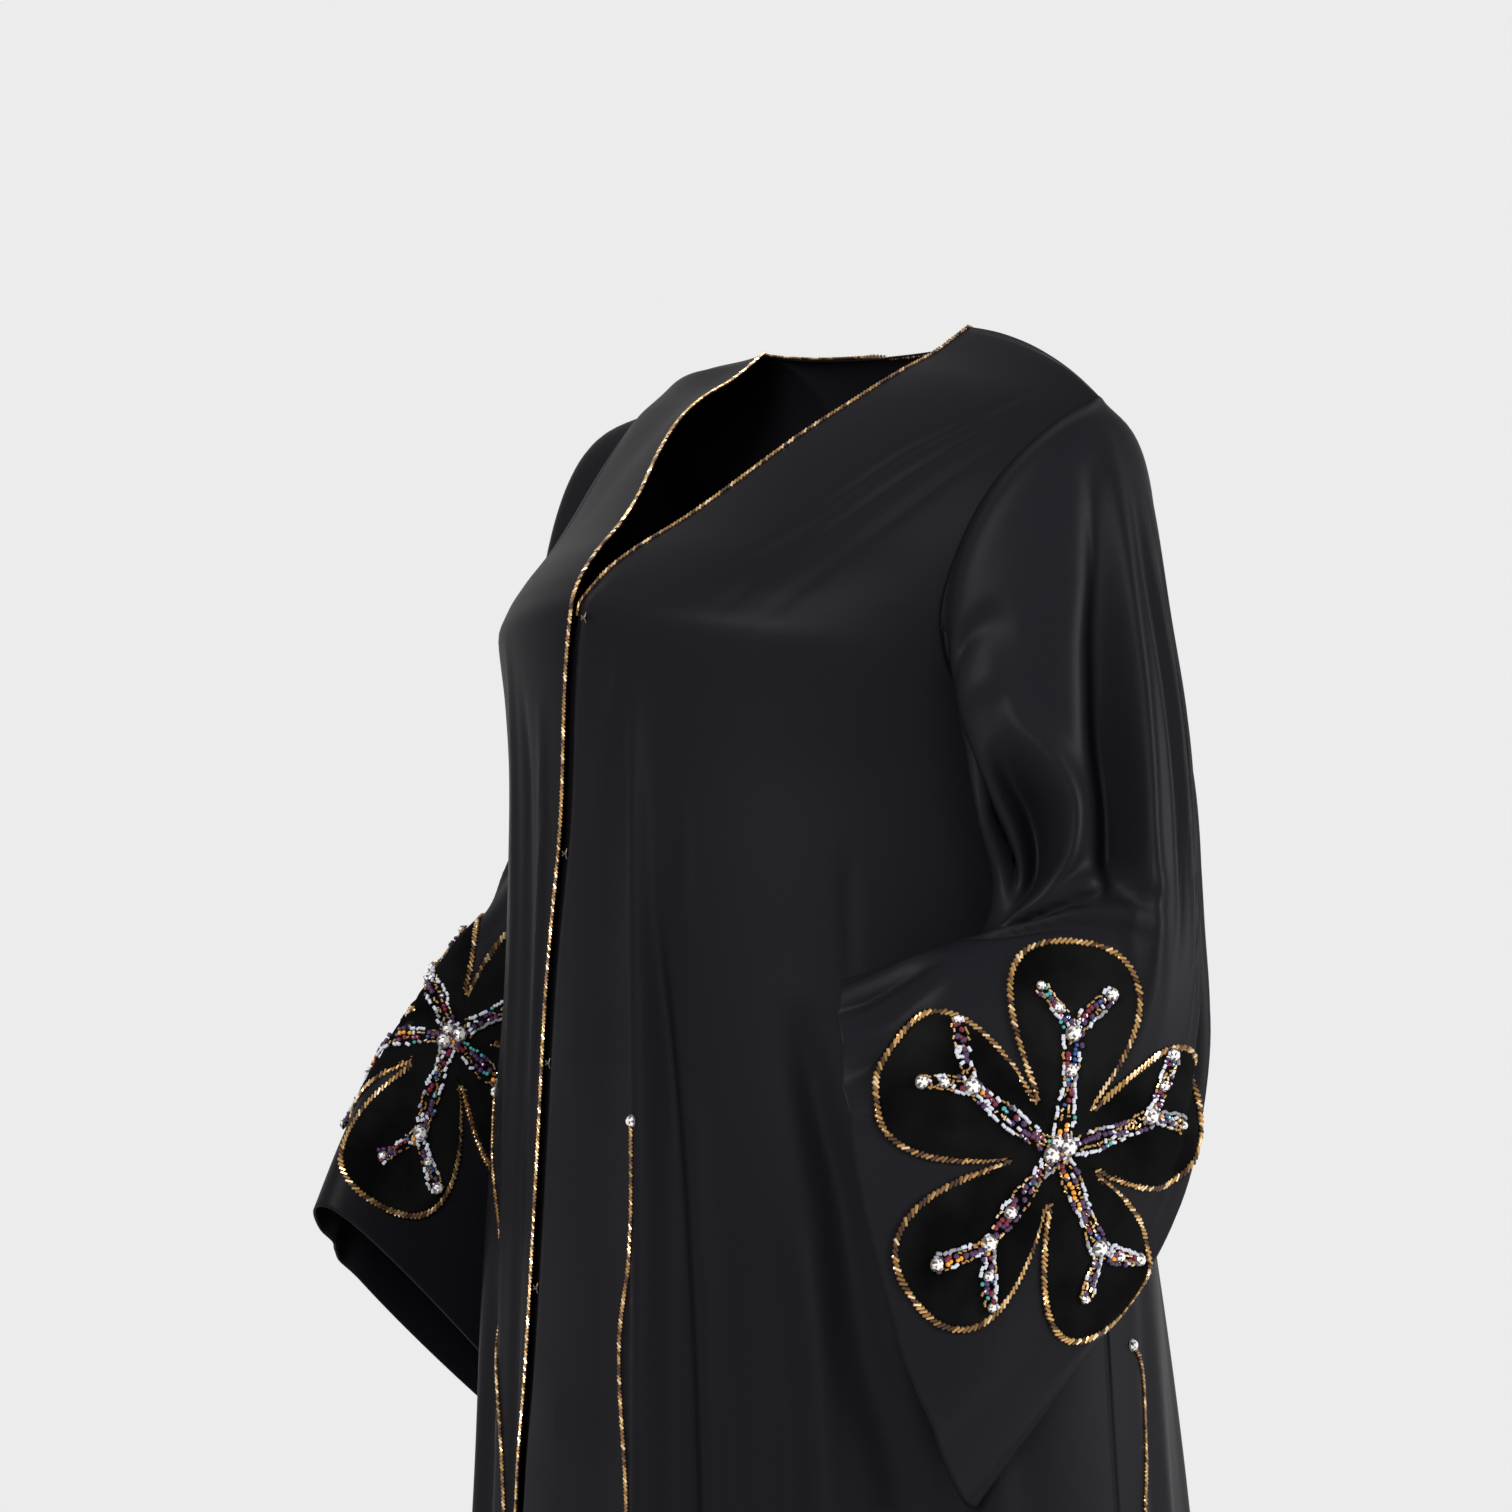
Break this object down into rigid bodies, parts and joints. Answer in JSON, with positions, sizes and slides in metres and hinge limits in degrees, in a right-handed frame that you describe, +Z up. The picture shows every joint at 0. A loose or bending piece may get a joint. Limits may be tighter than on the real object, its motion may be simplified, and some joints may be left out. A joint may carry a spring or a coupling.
{
  "type": "abaya",
  "caption": "Floor-length black open-front robe in its worn pose: wide sleeves with velvet flowers, gold bead rope at neck and front edge, hooks and gold stems.",
  "frame": {"origin": "On the wearer's axis at the height where the neckline meets the shoulder seams.", "axes": "+Z up, the wearer's left is +X, the front faces -Y."},
  "size_m": [0.6612, 0.5286, 1.4491],
  "materials": {
    "crepe": "satin",
    "velvet": "matte",
    "beads": "polished",
    "gold_beads": "polished",
    "hooks": "satin"
  },
  "bodies": {
    "root": {"back": "crepe", "front_left": "crepe", "front_right": "crepe", "sleeve_left": "crepe", "sleeve_right": "crepe", "flower_left": "velvet", "flower_right": "velvet", "beadwork_left": "beads", "beadwork_right": "beads", "trim_neck_left": "gold_beads", "trim_neck_right": "gold_beads", "trim_neck_back": "gold_beads", "trim_front_edge": "gold_beads", "stem_front_left": "gold_beads", "stem_front_right": "gold_beads", "stem_side_left": "gold_beads", "stem_side_right": "gold_beads", "hook_1": "hooks", "hook_2": "hooks", "hook_3": "hooks", "hook_4": "hooks"}
  },
  "joints": []
}
